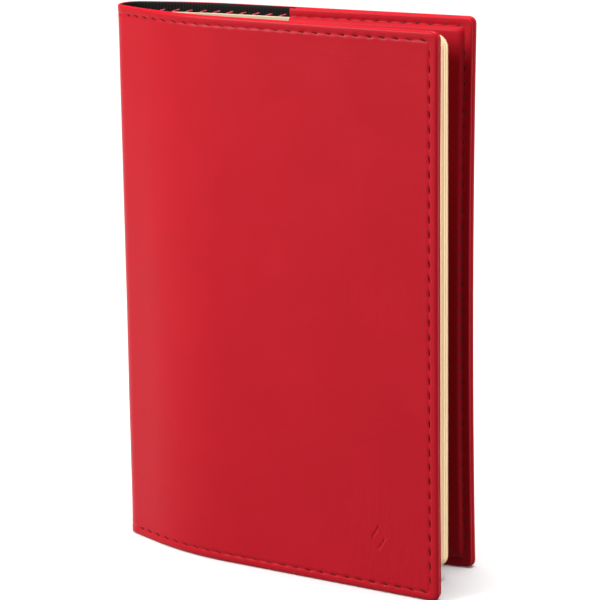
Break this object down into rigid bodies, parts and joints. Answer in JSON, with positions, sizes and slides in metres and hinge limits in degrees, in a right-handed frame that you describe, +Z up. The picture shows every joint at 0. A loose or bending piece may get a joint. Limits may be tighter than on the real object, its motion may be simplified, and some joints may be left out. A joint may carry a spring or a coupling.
{
  "type": "pocket notebook",
  "caption": "Pocket notebook with a soft stitched slip cover, pocket flaps and a refill of sewn page sections; both covers and the sections turn.",
  "frame": {"origin": "middle of the box at the foot, under the notebook standing on its tail edge", "axes": "+Z up along the spine, +X from spine to fore-edge, -Y out of the front cover"},
  "size_m": [0.11, 0.0324, 0.156],
  "materials": {
    "red_leather": "smooth satin leatherette",
    "black_lining": "fine woven",
    "red_thread": "twisted thread",
    "board": "raw board",
    "ivory_card": "smooth card",
    "paper": "uncoated, cut edges",
    "binding": "thread and dry glue"
  },
  "bodies": {
    "spine": {"spine_leather": "red_leather", "spine_lining": "black_lining", "spine_stitching": "red_thread", "refill_spine_card": "ivory_card", "binding_core": "binding"},
    "front_joint": {"front_joint_leather": "red_leather", "front_joint_lining": "black_lining", "front_joint_stitching": "red_thread"},
    "front_cover": {"front_cover_leather": "red_leather", "front_stiffener": "board", "front_lining": "black_lining", "front_pocket_flap": "red_leather", "front_cover_stitching": "red_thread", "refill_front_card": "ivory_card"},
    "back_joint": {"back_joint_leather": "red_leather", "back_joint_lining": "black_lining", "back_joint_stitching": "red_thread"},
    "back_cover": {"back_cover_leather": "red_leather", "back_stiffener": "board", "back_lining": "black_lining", "back_pocket_flap": "red_leather", "back_cover_stitching": "red_thread", "refill_back_card": "ivory_card"},
    "section_1": {"section_1": "paper"},
    "section_2": {"section_2": "paper"},
    "section_3": {"section_3": "paper"},
    "section_4": {"section_4": "paper"},
    "section_5": {"section_5": "paper"},
    "section_6": {"section_6": "paper"},
    "section_7": {"section_7": "paper"},
    "section_8": {"section_8": "paper"}
  },
  "joints": [
    {"name": "front_opening", "type": "hinge", "parent": "spine", "child": "front_joint", "pos_m": [-0.05111, -0.0078, 0.078], "axis": [0, 0, -1], "range_deg": [0, 70]},
    {"name": "front_cover_bend", "type": "hinge", "parent": "front_joint", "child": "front_cover", "pos_m": [-0.04125, -0.01139, 0.078], "axis": [0, 0, -1], "range_deg": [0, 20]},
    {"name": "back_opening", "type": "hinge", "parent": "spine", "child": "back_joint", "pos_m": [-0.05111, 0.0033, 0.078], "axis": [0, 0, 1], "range_deg": [-4.4, 70]},
    {"name": "back_cover_bend", "type": "hinge", "parent": "back_joint", "child": "back_cover", "pos_m": [-0.04125, 0.00689, 0.078], "axis": [0, 0, 1], "range_deg": [-1, 15.5]},
    {"name": "section_1_turn", "type": "hinge", "parent": "spine", "child": "section_1", "pos_m": [-0.04549, -0.00225, 0.078], "axis": [0, 0, -1], "range_deg": [0, 66.51]},
    {"name": "section_2_turn", "type": "hinge", "parent": "spine", "child": "section_2", "pos_m": [-0.04549, -0.00225, 0.078], "axis": [0, 0, -1], "range_deg": [0, 58.2]},
    {"name": "section_3_turn", "type": "hinge", "parent": "spine", "child": "section_3", "pos_m": [-0.04549, -0.00225, 0.078], "axis": [0, 0, -1], "range_deg": [0, 49.88]},
    {"name": "section_4_turn", "type": "hinge", "parent": "spine", "child": "section_4", "pos_m": [-0.04549, -0.00225, 0.078], "axis": [0, 0, -1], "range_deg": [0, 41.57]},
    {"name": "section_5_turn", "type": "hinge", "parent": "spine", "child": "section_5", "pos_m": [-0.04549, -0.00225, 0.078], "axis": [0, 0, -1], "range_deg": [0, 33.26]},
    {"name": "section_6_turn", "type": "hinge", "parent": "spine", "child": "section_6", "pos_m": [-0.04549, -0.00225, 0.078], "axis": [0, 0, -1], "range_deg": [0, 24.95]},
    {"name": "section_7_turn", "type": "hinge", "parent": "spine", "child": "section_7", "pos_m": [-0.04549, -0.00225, 0.078], "axis": [0, 0, -1], "range_deg": [0, 16.64]},
    {"name": "section_8_turn", "type": "hinge", "parent": "spine", "child": "section_8", "pos_m": [-0.04549, -0.00225, 0.078], "axis": [0, 0, -1], "range_deg": [0, 8.32]}
  ],
  "couplings": [
    {"joint": "front_cover_bend", "follows": "front_opening", "ratio": 0.28571},
    {"joint": "back_cover_bend", "follows": "back_opening", "ratio": 0.22143},
    {"joint": "section_1_turn", "follows": "front_opening", "ratio": 0.95},
    {"joint": "section_2_turn", "follows": "front_opening", "ratio": 0.83125},
    {"joint": "section_3_turn", "follows": "front_opening", "ratio": 0.7125},
    {"joint": "section_4_turn", "follows": "front_opening", "ratio": 0.59375},
    {"joint": "section_5_turn", "follows": "front_opening", "ratio": 0.475},
    {"joint": "section_6_turn", "follows": "front_opening", "ratio": 0.35625},
    {"joint": "section_7_turn", "follows": "front_opening", "ratio": 0.2375},
    {"joint": "section_8_turn", "follows": "front_opening", "ratio": 0.11875}
  ]
}
